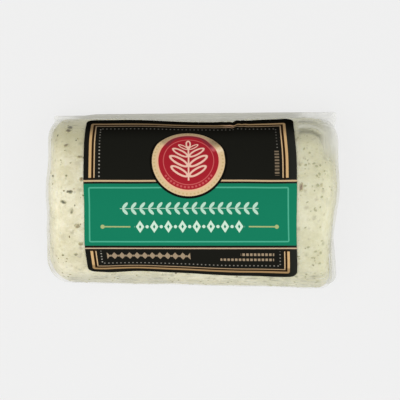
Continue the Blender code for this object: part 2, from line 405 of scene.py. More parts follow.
class Tree:
    """A node tree that is being built."""

    def __init__(self, tree):
        self.tree = tree

    def add(self, kind, settings=None, inputs=None, output=0):
        """A node with its settings set first, then its sockets. Gives back one of its outputs."""
        node = self.tree.nodes.new(kind)
        for name, setting in (settings or {}).items():
            setattr(node, name, setting)
        for name, value in (inputs or {}).items():
            self.plug(node.inputs[name], value)
        return Value(self, node.outputs[output])

    def plug(self, socket, value):
        if isinstance(value, Value):
            self.tree.links.new(value.socket, socket)
        else:
            socket.default_value = value

    def beside(self, value, output):
        """Another output of the node that a value comes from."""
        return Value(self, value.socket.node.outputs[output])

    def parts(self, vector):
        x = self.add("ShaderNodeSeparateXYZ", None, {0: vector})
        return x, self.beside(x, 1), self.beside(x, 2)


class Finish(Tree):
    """One material's nodes."""

    def __init__(self, name):
        self.material = bpy.data.materials.new(name)
        self.material.use_nodes = True
        super().__init__(self.material.node_tree)
        self.shader = self.tree.nodes["Principled BSDF"]

    def finish(self, **inputs):
        """Sets the Principled shader's sockets, by names with _ for a space, and gives back the material."""
        for name, value in inputs.items():
            self.plug(self.shader.inputs[name.replace("_", " ")], value)
        return self.material

    def place(self, scales=(1.0, 1.0, 1.0)):
        """Object coordinates, scaled."""
        spot = self.add("ShaderNodeTexCoord", output="Object")
        return self.add("ShaderNodeVectorMath", {"operation": "MULTIPLY"}, {0: spot, 1: scales})

    def flat_place(self, name):
        """The two coordinates of one of the piece's own maps."""
        return self.parts(self.add("ShaderNodeUVMap", {"uv_map": name}, output="UV"))[:2]

    def painted_on(self, name):
        """A value that the mesh carries."""
        return self.add("ShaderNodeAttribute", {"attribute_name": name}, output="Fac")

    def clouds(self, vector, scale, detail=2.0, roughness=0.5):
        inputs = {"Vector": vector, "Scale": scale, "Detail": detail, "Roughness": roughness}
        return self.add("ShaderNodeTexNoise", None, inputs)

    def streaks(self, *scales, detail=3.0, roughness=0.6):
        """Clouds with a scale of their own along each axis."""
        return self.clouds(self.place(scales), 1.0, detail, roughness)

    def coat(self, colour, *coats):
        """A colour under coats of ink, each given as (share, its colour or its screen values)."""
        for share, over in coats:
            node = self.tree.nodes.new("ShaderNodeMix")
            node.data_type = "RGBA"
            over = over if isinstance(over, Value) else ink(*over)
            for socket, value in zip((0, 6, 7), (share, colour, over)):
                self.plug(node.inputs[socket], value)
            colour = Value(self, node.outputs[2])
        return colour

    def bump(self, height, distance, strength):
        inputs = {"Height": height, "Distance": distance, "Strength": strength}
        return self.add("ShaderNodeBump", None, inputs)


def ink(red, green, blue):
    """A colour from its screen values, 0 to 255."""

    def linear(channel):
        share = channel / 255
        return share / 12.92 if share <= 0.04045 else ((share + 0.055) / 1.055) ** 2.4

    return (linear(red), linear(green), linear(blue), 1.0)


def band(value, centre, half, soft=0.06):
    """1 within half of a centre, with a soft edge."""
    return abs(value - centre).from_to(half + soft, max(half - soft, 0.0))


def within(value, edge, soft=0.07):
    """1 below an edge, with a soft border."""
    return value.from_to(edge + soft, edge - soft)


def distance(across, along):
    """How far a place is from where both are 0."""
    return (across * across + along * along).math("SQRT")


# Cheese and herbs


def sunken_herbs(n, colour, spot, crumbs, to_the_right):
    """Faint herbs under the surface, in three sizes, more of them to the right."""
    settings = {"operation": "MULTIPLY_ADD"}
    ragged = n.add("ShaderNodeVectorMath", settings, {0: crumbs, 1: (1.2 * MM,) * 3, 2: spot})
    for scale, bare, strength, size in SUNKEN_HERBS:
        to_middle = n.add("ShaderNodeTexVoronoi", None, {"Vector": ragged, "Scale": scale}, "Distance")
        chance, tint, _ = n.parts(n.beside(to_middle, "Color"))
        picked = (chance + to_the_right * 0.16).from_to(bare + 0.08, bare + 0.2)
        herb = n.coat(ink(126, 128, 78), (tint.from_to(0.3, 0.7), (128, 112, 72)))
        colour = n.coat(colour, (to_middle.from_to(size, 0.05) * picked * strength, herb))
    return colour


def cheese_finish():
    n = Finish("cheese")
    spot = n.place()
    x, y, z = n.parts(spot)
    patches = n.clouds(spot, 170.0, 4.0, 0.6)
    crumbs = n.clouds(spot, 1100.0, 4.0, 0.65)
    curds = n.streaks(420.0, 620.0, 620.0)
    to_the_right = x.from_to(-15 * MM, 30 * MM)
    # Painted shade: the cheese is darker over its back shoulder, where it turns away from the light, and over
    # the back left
    shoulder_shade = y.from_to(14.5 * MM, 19 * MM) * x.from_to(38 * MM, 32 * MM)
    back_left_shade = y.from_to(11 * MM, 19 * MM) * x.from_to(-27 * MM, -30 * MM)
    # Painted shade along the front lower edge at the left, where the cheese turns away from the light
    front_left_shade = x.from_to(-3 * MM, -10 * MM) * x.from_to(-36.5 * MM, -32 * MM)
    front_left_shade = front_left_shade * y.from_to(-19 * MM, -21.2 * MM) * z.from_to(13 * MM, 18 * MM)
    colour = n.coat(
        ink(242, 236, 206),
        (patches.from_to(0.36, 0.64), (226, 219, 182)),
        (curds.from_to(0.56, 0.72) * 0.35, (196, 188, 146)),
        (crumbs.from_to(0.52, 0.72) * 0.5, (250, 248, 230)),
        (crumbs.from_to(0.48, 0.32) * 0.35, (200, 190, 146)),
        (to_the_right * 0.42, (204, 206, 170)),
        (shoulder_shade * 0.5, (178, 174, 130)),
        (back_left_shade * 0.42, (184, 178, 126)),
        (front_left_shade * 0.4, (186, 186, 160)),
    )
    return n.finish(
        Base_Color=sunken_herbs(n, colour, spot, crumbs, to_the_right), Roughness=0.42,
        Normal=n.bump(crumbs + patches * 0.6, 0.4 * MM, 0.4), Subsurface_Weight=0.2,
        Subsurface_Radius=(1.0, 0.8, 0.5), Subsurface_Scale=2 * MM, Coat_Weight=0.3, Coat_Roughness=0.22,
        Specular_IOR_Level=0.3,
    )


def cheese_point(x, turn, ring=1.0, **more):
    return shell_point(x, turn, ring, **CHEESE_SHELL, **more)


def crumbly_point(x, turn, ring):
    """A point of the cheese, drawn in by its crumbs."""
    crumb = CRUMB_HEIGHT * noise.noise(cheese_point(x, turn, ring) / CRUMB_SPACING) - CRUMB_HEIGHT
    return cheese_point(x, turn, ring, grown=crumb)


def build_cheese():
    cap = (0.08, 0.2, 0.32, 0.44, 0.56, 0.68, 0.79, 0.89, 0.96)
    places = stations(CHEESE_SHORT_OF_END, CHEESE_END_ROUNDING, 0.9 * MM, 0.55 * MM, cap)
    return finished("cheese_log", closed_shell(places, 260, crumbly_point), cheese_finish())


def herb_finish(name, green, brown, pale):
    """Dark in the middle of a flake, and paler towards its thin rim, which the cheese half covers."""
    n = Finish(name)
    spot = n.place()
    tint = n.clouds(spot, 330.0, 1.0)
    grain = n.clouds(spot, 2600.0, 2.0)
    to_the_right = n.parts(spot)[0].from_to(0.0, 30 * MM)
    core = n.painted_on("core") + (grain - 0.5) * 0.5
    colour = n.coat(
        ink(*green),
        (tint.from_to(0.42, 0.58), brown),
        (to_the_right * 0.85, pale),
        (n.painted_on("brown"), n.coat(ink(136, 110, 56), (to_the_right, (128, 98, 78)))),
        (core.from_to(0.95, 0.15), (208, 202, 158)),
    )
    return n.finish(Base_Color=colour, Roughness=0.7, Coat_Weight=0.2, Coat_Roughness=0.25)


def scatter_tree():
    """Geometry Nodes that strew flat flakes over a surface, so many to the square metre at each end."""
    group = bpy.data.node_groups.new("strewn_flakes", "GeometryNodeTree")
    asked = {
        "Surface": "Geometry", "At the left": "Float", "At the right": "Float", "Longest": "Float",
        "Shortest": "Float", "Seed": "Int", "Material": "Material",
    }
    for name, kind in asked.items():
        group.interface.new_socket(name, in_out="INPUT", socket_type="NodeSocket" + kind)
    group.interface.new_socket("Flakes", in_out="OUTPUT", socket_type="NodeSocketGeometry")
    n = Tree(group)
    surface = n.add("NodeGroupInput", output="Surface")
    left, right, longest, shortest, seed, material = (n.beside(surface, name) for name in list(asked)[1:])
    rise = {"From Min": -20 * MM, "From Max": 30 * MM, "To Min": left, "To Max": right}
    rise["Value"] = n.parts(n.add("GeometryNodeInputPosition"))[0]
    density = n.add("ShaderNodeMapRange", {"interpolation_type": "SMOOTHSTEP"}, rise)
    strewn = {"Mesh": surface, "Density": density, "Seed": seed}
    points = n.add("GeometryNodeDistributePointsOnFaces", None, strewn, "Points")
    ball = n.add("GeometryNodeMeshIcoSphere", None, {"Radius": 1.0, "Subdivisions": 2}, "Mesh")
    height = n.parts(n.add("GeometryNodeInputPosition"))[2]
    cored = {"Geometry": ball, "Name": "core", "Value": abs(height)}
    flake = n.add("GeometryNodeStoreNamedAttribute", None, cored)
    angle = n.add("FunctionNodeRandomValue", {"data_type": "FLOAT"}, {3: 2 * math.pi, "Seed": 11}, 1)
    turn = {"Rotation": n.beside(points, "Rotation"), "Axis": (0, 0, 1), "Angle": angle}
    turned = n.add("FunctionNodeRotateEuler", {"rotation_type": "AXIS_ANGLE", "space": "LOCAL"}, turn)
    length = {2: shortest, 3: longest, "Seed": 23}
    length = n.add("FunctionNodeRandomValue", {"data_type": "FLOAT"}, length, 1)
    form = {0: (0.7, 0.3, 0.14), 1: (1.0, 0.75, 0.26), "Seed": 37}
    form = n.add("FunctionNodeRandomValue", {"data_type": "FLOAT_VECTOR"}, form)
    size = n.add("ShaderNodeVectorMath", {"operation": "SCALE"}, {0: form, "Scale": length})
    placed = {"Points": points, "Instance": flake, "Rotation": turned, "Scale": size}
    placed = n.add("GeometryNodeInstanceOnPoints", None, placed)
    real = n.add("GeometryNodeRealizeInstances", None, {"Geometry": placed})
    painted = n.add("GeometryNodeSetMaterial", None, {"Geometry": real, "Material": material})
    n.plug(group.nodes.new("NodeGroupOutput").inputs[0], painted)
    return group


def strew(name, cheese, tree, **inputs):
    """Herb flakes half sunk in the cheese, strewn by Geometry Nodes over a copy of its surface."""
    surface = in_scene("flake_surface", cheese.data.copy())
    modifier = surface.modifiers.new("strew", "NODES")
    modifier.node_group = tree
    for item in tree.interface.items_tree:
        value = inputs.get(item.name.replace(" ", "_"))
        if item.in_out == "INPUT" and value is not None:
            modifier[item.identifier] = value
    graph = bpy.context.evaluated_depsgraph_get()
    mesh = bpy.data.meshes.new_from_object(surface.evaluated_get(graph))
    bpy.data.objects.remove(surface)
    mesh.shade_smooth()
    return in_scene(name, mesh)


def build_herbs(cheese):
    tree = scatter_tree()
    small = herb_finish("fine_herbs", (128, 130, 80), (140, 124, 78), (172, 174, 136))
    large = herb_finish("dark_herbs", (64, 66, 26), (92, 74, 32), (164, 162, 124))
    return (
        strew(
            "herb_specks", cheese, tree, At_the_left=56000.0, At_the_right=150000.0, Seed=4, Material=small,
            Shortest=0.22 * MM, Longest=0.62 * MM,
        ),
        strew(
            "herb_flakes", cheese, tree, At_the_left=9000.0, At_the_right=3500.0, Seed=9, Material=large,
            Shortest=0.25 * MM, Longest=0.65 * MM,
        ),
        build_clumps(large),
    )


def build_clumps(material):
    """The larger clumps of herbs, ragged and flat, half sunk in the cheese."""
    bm = bmesh.new()
    core = bm.verts.layers.float.new("core")
    brown = bm.verts.layers.float.new("brown")
    for k, (x, from_top, long, wide, tilt, darkness, brownness) in enumerate(HERB_CLUMPS):
        x, long, wide = x * MM, long * MM, wide * MM
        turn = math.radians(90 - from_top)
        along = cheese_point(x + 0.3 * MM, turn) - cheese_point(x - 0.3 * MM, turn)
        ahead = cheese_point(x, turn - 0.01) - cheese_point(x, turn + 0.01)
        out = along.cross(-ahead).normalized()
        out *= math.copysign(1, out.z)
        side = Matrix.Rotation(math.radians(tilt), 3, out) @ along.normalized()
        up = out.cross(side)
        made = bmesh.ops.create_icosphere(bm, subdivisions=3, radius=1.0)
        centre = cheese_point(x, turn)
        for vert in made["verts"]:
            vert[core] = abs(vert.co.z) * darkness
            vert[brown] = brownness
            ragged = 1.05 + 0.65 * noise.noise(vert.co * 1.9 + Vector((7.0 * k, 0.0, 0.0)))
            spot = vert.co * ragged
            vert.co = centre + side * spot.x * long + up * spot.y * wide + out * spot.z * 0.15 * MM
    return finished("herb_clumps", bm, material)


# Clear film


def corner_wave(x, y):
    """How far a fold over the back right corner stands up, from -1 to 1. Its folds run round one point."""
    from_middle = Vector((x - FOLD_MIDDLE[0], y - FOLD_MIDDLE[1])).length
    waves = ridges(FOLD_WAVES, from_middle / MM)
    beyond_label = smooth_step(28.9 * MM, 30.5 * MM, x) * (1 - 0.7 * smooth_step(34 * MM, 37 * MM, x))
    return waves * beyond_label * smooth_step(-3 * MM, 2 * MM, y - FOLD_MIDDLE[1])


def film_lift(x, turn):
    """Fine wrinkles that stand off the cheese, outside the label."""
    from_top = degrees_from_top(turn)
    round_the_log = math.radians(from_top) * HALF_WIDTH
    under_label = smooth_step(31.5 * MM, 29.0 * MM, abs(x + 0.55 * MM))
    under_label *= smooth_step(74, 66, abs(from_top - 6))
    near_end = smooth_step(31 * MM, 39 * MM, abs(x))
    hoops = noise.noise(Vector((x / (0.9 * MM), from_top / 28, 2.0))) * near_end
    lengthways = noise.noise(Vector((x / (8 * MM), round_the_log / (0.9 * MM), 8.0)))
    lengthways *= smooth_step(50, 64, abs(from_top - 4)) * smooth_step(135, 100, abs(from_top))
    lift = 0.13 * MM * max(0.0, hoops + 0.1) + 0.12 * MM * max(0.0, lengthways)
    base = shell_point(x, turn)
    lift += FOLD_HEIGHT * corner_wave(base.x, base.y) * smooth_step(9 * MM, 12 * MM, base.z)
    return lift * (1 - under_label)


def corner_folds(x, y, z, ripple):
    """The folds over the back right corner: painted shade along their dark lines, a painted highlight along
    the ridge of one, and past them a paler film that is partly painted sheen.
    """
    across, up = x - FOLD_MIDDLE[0], y - FOLD_MIDDLE[1]
    from_middle = distance(across, up) + ripple
    shoulder = x.from_to(28.8 * MM, 30 * MM) * up.from_to(0.0, 3 * MM) * z.from_to(9 * MM, 12 * MM)
    shade = sum(
        band(from_middle, radius * MM, half * MM, soft * MM) * across.from_to(gone * MM, full * MM) * darkness
        for radius, half, soft, gone, full, darkness in FOLD_SHADE_LINES
    )
    # Past the folds the film is paler: partly its own whitening, partly painted sheen
    haze_and_sheen = across.from_to(2.5 * MM, 6 * MM) * up.from_to(-7 * MM, 3 * MM) * z.from_to(4 * MM, 16 * MM)
    # Painted highlight along the ridge of the middle fold
    crest_highlight = band(from_middle, 6.8 * MM, 0.4 * MM, 0.5 * MM) * across.from_to(5.5 * MM, 2.5 * MM)
    return shade * shoulder, crest_highlight * shoulder * 0.8 + haze_and_sheen, haze_and_sheen


def film_finish():
    n = Finish("clear_film")
    x, y, z = n.parts(n.place())
    hoops = n.streaks(1400.0, 90.0, 90.0)
    streaks = n.streaks(120.0, 900.0, 900.0)
    creases = n.streaks(190.0, 1050.0, 1050.0, detail=2.0, roughness=0.55)
    towards_end = abs(x).from_to(33 * MM, 40 * MM)
    at_end = abs(x).from_to(37.5 * MM, 40 * MM)
    on_side = abs(y).from_to(18.5 * MM, 21.5 * MM)
    shade, shine, haze_and_sheen = corner_folds(x, y, z, (streaks - 0.5) * (1.2 * MM))
    creased = on_side * z.from_to(15.0 * MM, 19.5 * MM) * (1 - towards_end * 0.8)
    # Painted shade in the film's creases along the sides, and painted highlights on its streaks
    crease_shade = creases.from_to(0.46, 0.33) * creased * 0.34
    streak_highlights = streaks.from_to(0.56, 0.72) * on_side * 0.2
    alpha = 0.08 + at_end * 0.25 + hoops.from_to(0.55, 0.75) * towards_end * 0.25 + on_side * 0.06
    alpha = alpha + crease_shade + streak_highlights + shade * 0.8 + shine * 0.45
    colour = n.coat(
        ink(236, 236, 228),
        (at_end * (1 - haze_and_sheen), (216, 214, 194)),
        # Painted shade of the corner folds and the side creases
        ((shade * 1.6).most(crease_shade * 2.6), (128, 128, 104)),
    )
    wrinkled = hoops * (0.25 + towards_end) + streaks * abs(y).from_to(12 * MM, 22 * MM)
    return n.finish(
        Base_Color=colour, Roughness=0.16, Alpha=alpha.least(0.9), Normal=n.bump(wrinkled, 0.25 * MM, 0.6),
        Specular_IOR_Level=0.6,
    )


def film_point(x, turn, ring):
    return shell_point(x, turn, ring, grown=film_lift(x, turn))


def build_film():
    cap = (0.06, 0.16, 0.26, 0.36, 0.46, 0.56, 0.65, 0.74, 0.82, 0.89, 0.95)
    places = stations(0.0, END_ROUNDING, 0.8 * MM, 0.4 * MM, cap)
    return finished("clear_film", closed_shell(places, 340, film_point), film_finish())


# The seal lip


def outline(corners):
    """Points round an outline of four rounded corners, given as (x, y, radius), clockwise from back left."""
    count = len(corners)
    centres = []
    for i, (x, y, radius) in enumerate(corners):
        here = Vector((x, y))
        to_last = (Vector(corners[i - 1][:2]) - here).normalized()
        to_next = (Vector(corners[(i + 1) % count][:2]) - here).normalized()
        half_angle = to_last.angle(to_next) / 2
        centre = here + (to_last + to_next).normalized() * radius / math.sin(half_angle)
        start = here + to_last * radius / math.tan(half_angle)
        end = here + to_next * radius / math.tan(half_angle)
        centres.append((centre, start, end, radius))
    points = []
    for i, (centre, start, end, radius) in enumerate(centres):
        for k in range(LIP_STEPS_CORNER):
            direction = (start - centre).lerp(end - centre, k / LIP_STEPS_CORNER).normalized()
            points.append(centre + direction * radius)
        steps = LIP_STEPS_LONG if i % 2 == 0 else LIP_STEPS_SHORT
        following = centres[(i + 1) % count][1]
        points += [end.lerp(following, k / steps) for k in range(steps)]
    return points


def lip_edge():
    """The lip's outer edge, which drops at the left of its back side."""
    points = outline(LIP_CORNERS)
    for place in points:
        at_back_left = smooth_step(-27 * MM, -31 * MM, place.x) * smooth_step(20 * MM, 24 * MM, place.y)
        place.y -= LIP_DROP_AT_LEFT * at_back_left
    return points


def lip_root():
    """The lip's inner outline, inside the log where the two films meet."""
    signs = ((-1, 1), (1, 1), (1, -1), (-1, -1))
    return outline([(sx * ROOT_HALF_LENGTH, sy * ROOT_HALF_WIDTH, ROOT_CORNER) for sx, sy in signs])


def inside_log(x, y, z):
    """Whether a point below the widest section lies inside the log, its lumps left out."""
    x += end_slant(x / HALF_LENGTH, y) - left_end_hollows(x, y)
    if abs(x) >= HALF_LENGTH:
        return False
    rounding = corner_rounding(x, y / HALF_WIDTH, END_ROUNDING)
    past = max(0.0, abs(x) - HALF_LENGTH + rounding)
    inset = rounding - math.sqrt(rounding**2 - past**2)
    across = (y + SIDE_DRIFT * x / HALF_LENGTH) / (HALF_WIDTH + WIDER_TO_THE_RIGHT * x / HALF_LENGTH - inset)
    up = (z - SECTION_HEIGHT) / (BACK_DEPTH - inset)
    return abs(across) ** BACK_POWER + abs(up) ** BACK_POWER < 1


def wall_distance(start, direction, height):
    """How far a point in the log is from its wall, level along a direction, at a height below the middle."""
    near, far = 0.0, 12 * MM
    for _ in range(16):
        middle = (near + far) / 2
        place = start + direction * middle
        if inside_log(place.x, place.y, height):
            near = middle
        else:
            far = middle
    return near


def standing_share(place):
    """1 where the lip stands out, 0 where it is folded down against the wall."""
    at_back = smooth_step(20.5 * MM, 24.0 * MM, place.y)
    from_corner = (place - Vector(LOOSE_CORNER[:2])).length
    at_corner = LOOSE_CORNER_SHARE * smooth_step(LOOSE_CORNER_REACH, LOOSE_CORNER[2] / 2, from_corner)
    return max(at_back, at_corner)


def lip_profile(inner, outer, wave, ripple):
    """The lip's section as (distance out, height, share of the width) over its top and back underneath."""
    reach = (outer - inner).length
    direction = (outer - inner).normalized()
    share = standing_share(outer)
    half = LIP_THICKNESS / 2
    top, under = [(0.0, LIP_HEIGHT + half, 0.0)], [(0.0, LIP_HEIGHT - half, 0.0)]
    for step in (0.12, 0.34, 0.55, 0.7, 0.82, 0.92, 1.0):
        z = LIP_HEIGHT - LIP_FOLDED_LENGTH * step + wave * step
        fold_out = wall_distance(inner, direction, z) + LIP_FOLD_OUT + (LIP_EDGE_OUT - LIP_FOLD_OUT) * step
        stand_out = reach * (0.5 + 0.5 * step)
        stand_z = LIP_HEIGHT - LIP_SAG * step + (wave + ripple) * step
        out = fold_out + (stand_out - fold_out) * share
        z = z + (stand_z - z) * share
        top.append((out, z + half * share, step))
        under.append((out - LIP_THICKNESS * (1 - share), z - half * share, step))
    return top + under[::-1]


def lip_finish():
    n = Finish("seal_lip")
    _, out = n.flat_place("lip")
    x, y, _ = n.parts(n.place())
    clouds = n.streaks(160.0, 700.0, 700.0)
    clear_ends = abs(x + 1 * MM).from_to(28.5 * MM, 34.5 * MM)
    past_end = abs(x).from_to(38.5 * MM, 40 * MM)
    ridge = band(out, 0.45, 0.10, 0.08) + band(out, 0.86, 0.06, 0.05)
    loose = x.from_to(30 * MM, 37 * MM) * y.from_to(-2 * MM, -10 * MM)
    colour = n.coat(
        ink(216, 215, 205),
        (clear_ends, (242, 242, 238)),
        (ridge * 0.35 + clouds.from_to(0.5, 0.75) * 0.3, (240, 240, 234)),
        (loose, (228, 228, 222)),
    )
    alpha = 0.66 - clear_ends * 0.30 - past_end * 0.08 + ridge * 0.08 + clouds.from_to(0.5, 0.8) * 0.12
    return n.finish(
        Base_Color=colour, Roughness=0.25, Alpha=(alpha + loose * 0.18).least(1.0),
        Normal=n.bump(clouds + ridge * 0.5, 0.2 * MM, 0.5), Specular_IOR_Level=0.5,
    )


def build_lip():
    """The welded lip as one closed band, with its own map: along it, and out from its root."""
    bm = bmesh.new()
    layer = bm.loops.layers.uv.new("lip")
    root, edge = lip_root(), lip_edge()
    sections = []
    for i, (inner, outer) in enumerate(zip(root, edge)):
        turn = 2 * math.pi * i / len(edge)
        wave = sum(height * math.sin(count * turn + count) for count, height in LIP_WAVES)
        ripple = 0.25 * MM * noise.noise(Vector((outer.x / (3 * MM), outer.y / (3 * MM), 1.0)))
        direction = (outer - inner).normalized()
        section = []
        for out, z, share in lip_profile(inner, outer, wave, ripple):
            place = inner + direction * out
            section.append((bm.verts.new((place.x, place.y, z)), i / len(edge), share))
        sections.append(section)
    for first, second in zip(sections, sections[1:] + sections[:1]):
        for k in range(len(first)):
            m = (k + 1) % len(first)
            corners = (first[k], first[m], second[m], second[k])
            made = bm.faces.new([corner[0] for corner in corners])
            for loop, (_, along, share) in zip(made.loops, corners):
                loop[layer].uv = (along, share)
    return finished("seal_lip", bm, lip_finish())


# The label


def surface_column(x):
    """Points round the front of the film at an x, with the way round from the lower gold line in mm."""
    column = []
    way, last = 0.0, None
    start = None
    steps = 420
    for i in range(steps + 1):
        turn = math.radians(156 - 140 * i / steps)
        here = shell_point(x, turn)
        ahead = shell_point(x, turn - 0.01) - shell_point(x, turn + 0.01)
        sideways = shell_point(x + 0.2 * MM, turn) - shell_point(x - 0.2 * MM, turn)
        normal = sideways.cross(ahead).normalized()
        if last is not None:
            step = (here - last).length / MM
            way += step
            if last.y < LOWER_LINE_Y <= here.y:
                start = way - step * (here.y - LOWER_LINE_Y) / (here.y - last.y)
        last = here
        column.append((way, here, normal))
    return [(way - start, here, normal) for way, here, normal in column]


def drawn_in(x, way):
    """The sheet's front edge is drawn in towards the left."""
    return way * (1 - 0.16 * smooth_step(10 * MM, -13 * MM, x)) if way < 0 else way


def sheet_x(across, way):
    """Where along the log a flat place of the sheet lies. It leans in at the back, right at the front."""
    left_in = 0.25 * smooth_step(20, 12, way) + 0.75 * smooth_step(3, -10, way)
    left_in += 0.5 * smooth_step(30, 42, way)
    right_out = 0.8 * smooth_step(16, -8, way) - 0.65 * smooth_step(24, 40, way)
    left, right = LABEL_LEFT_X + left_in * MM, LABEL_RIGHT_X + right_out * MM
    return left + (right - left) * (across + LABEL_HALF) / (2 * LABEL_HALF)


def on_column(column, x, way, lift):
    """The point of a column that lies a way round, lifted off the film."""
    way = drawn_in(x, way)
    k = 1
    while k < len(column) - 1 and column[k][0] < way:
        k += 1
    (low, first, normal), (high, second, _) = column[k - 1], column[k]
    return first.lerp(second, (way - low) / (high - low)) + normal * lift


def label_rows():
    """(way round, how much shorter the row is at each end), in mm, finer at the rounded corners."""
    near = [LABEL_CORNER * (1 - math.cos(math.radians(90) * k / 8)) for k in range(9)]
    rows = []
    for inward in near:
        shorter = LABEL_CORNER - math.sqrt(LABEL_CORNER**2 - (LABEL_CORNER - inward) ** 2)
        rows.append((LABEL_BOTTOM + inward, shorter))
    top = [(LABEL_TOP + LABEL_BOTTOM - way, shorter) for way, shorter in reversed(rows)]
    count = 110
    first, last = rows[-1][0], top[0][0]
    middle = [(first + (last - first) * k / count, 0.0) for k in range(1, count)]
    return rows + middle + top


def build_label():
    """The printed sheet laid round the film, with its flat place in mm as its map."""
    rows = label_rows()
    count = 150
    bm = bmesh.new()
    layer = bm.loops.layers.uv.new("print")
    flat = {}
    sheets = ([[] for _ in rows], [[] for _ in rows])
    for k in range(count + 1):
        share = 2 * k / count - 1
        column_x = sheet_x(share * LABEL_HALF, 10)
        column = surface_column(column_x)
        for r, (way, shorter) in enumerate(rows):
            across = share * (LABEL_HALF - shorter)
            x = sheet_x(across, way)
            for sheet, lift in zip(sheets, (LABEL_LIFT, LABEL_LIFT + LABEL_THICKNESS)):
                point = on_column(column, column_x, way, lift)
                vert = bm.verts.new((point.x + x - column_x, point.y, point.z))
                sheet[r].append(vert)
                flat[vert] = (across, way)
    for sheet in sheets:
        for first, second in zip(sheet, sheet[1:]):
            for k in range(count):
                bm.faces.new((first[k], first[k + 1], second[k + 1], second[k]))
    rims = []
    for sheet in sheets:
        right_side = [row[-1] for row in sheet[1:-1]]
        left_side = [row[0] for row in sheet[1:-1]]
        rims.append(sheet[0] + right_side + sheet[-1][::-1] + left_side[::-1])
    bridge(bm, *rims)
    for made in bm.faces:
        for loop in made.loops:
            a, b = flat[loop.vert]
            loop[layer].uv = (a / 100 + 0.5, b / 100 + 0.5)
    return finished("label_print", bm, label_finish())


def round_box(across, along, half_across, half_along, corner):
    """Distance outside a rounded rectangle round the origin, less than 0 inside."""
    past_across = abs(across) - (half_across - corner)
    past_along = abs(along) - (half_along - corner)
    a, b = past_across.most(0.0), past_along.most(0.0)
    return distance(a, b) + past_across.most(past_along).least(0.0) - corner


def leaf(across, along, place, size, tilt):
    """1 in an ellipse that leans by tilt degrees."""
    c, s = math.cos(math.radians(tilt)), math.sin(math.radians(tilt))
    dx, dy = across - place[0], along - place[1]
    u = (dx * c + dy * s) / size[0]
    v = (dy * c - dx * s) / size[1]
    return (u * u + v * v).from_to(1.12, 0.88)


def repeated(value, pitch, start=0.0):
    """The value's distance from the middle of its cell, in a row of cells of a pitch."""
    share = ((value - start) / pitch).math("FRACT")
    return (share - 0.5) * pitch


def sprig(across, along):
    """Four pairs of hollow leaves on a stem, and one at its tip."""
    side = abs(across)
    drawn = band(across, 0.0, 0.22) * band(along, -0.6, 5.2)
    for up, length in ((-4.5, 2.9), (-1.6, 3.1), (1.3, 2.6), (3.6, 1.6)):
        reach = length * 0.95
        place = (reach * 0.86 + 0.12, up + reach * 0.5)
        whole = leaf(side, along, place, (length, length * 0.36), 32)
        hollow = leaf(side, along, place, (length * 0.76, length * 0.17), 32)
        drawn = drawn.most(whole - hollow)
    tip = leaf(side, along, (0.0, 5.3), (0.75, 1.4), 0) - leaf(side, along, (0.0, 5.3), (0.34, 0.9), 0)
    return drawn.most(tip)


def badge(n, colour, a, b):
    """A round red badge with a sprig of herbs. Its top has painted shade, where the sheet turns down, a
    painted shadow on the red below the ring, and painted highlights below the crease.
    """
    across, along = a - BADGE_PLACE[0], b - BADGE_PLACE[1]
    even = distance(across, along)
    angle = along.math("ARCTAN2", across)
    pressed = band(angle, 0.75, 0.0, 0.42) * 0.15
    radius = (even + pressed - 9.1) * (1 + along.from_to(5.0, 8.5) * 0.55) + 9.1
    red = within(radius, 8.35)
    shaded_top = band(angle, 1.48, 1.0, 0.09) * within(radius, 10.2, 0.1)
    # Painted shade over the ring's top, where the sheet turns down
    top_shade = shaded_top * along.from_to(2.0, 6.0) * (1 - red) * (0.42 + band(angle, 0.68, 0.1, 0.2) * 0.2)
    beads = within(distance(repeated(angle, 2 * math.pi / 56) * 9.5, radius - 9.5), 0.265, 0.065)
    # Painted highlight on the ring below the crease
    glint = band(angle, 0.36, 0.07, 0.06) * within(radius, 10.1, 0.1)
    marks = band(repeated(angle, 2 * math.pi / 46), 0.0, 0.036, 0.02) * band(even, 7.65, 0.27, 0.15)
    # Painted pink highlight on the red below the crease
    fold = band(angle, 0.5, 0.09, 0.08) * band(radius, 7.8, 0.5, 0.3)
    return n.coat(
        colour,
        (within(radius, 10.76, 0.1), (16, 15, 12)),
        (within(radius, 10.11), (222, 194, 150)),
        (beads * 0.5, (190, 160, 96)),
        (within(radius, 8.775, 0.075), (238, 186, 150)),
        (glint * 0.5, (255, 236, 206)),
        (red, (168, 36, 47)),
        (band(even, 6.95, 0.12) * 0.6, (226, 120, 116)),
        (marks * band(angle, -1.57, 1.0, 0.05) * 0.55, (230, 120, 118)),
        (fold * 0.7, (240, 128, 132)),
        (sprig(across, along), (240, 196, 176)),
        # Painted shadow on the red under the ring's top
        (band(radius, 7.85, 0.4, 0.5) * red * shaded_top * 0.6, (80, 56, 64)),
        (top_shade, (62, 48, 50)),
    )


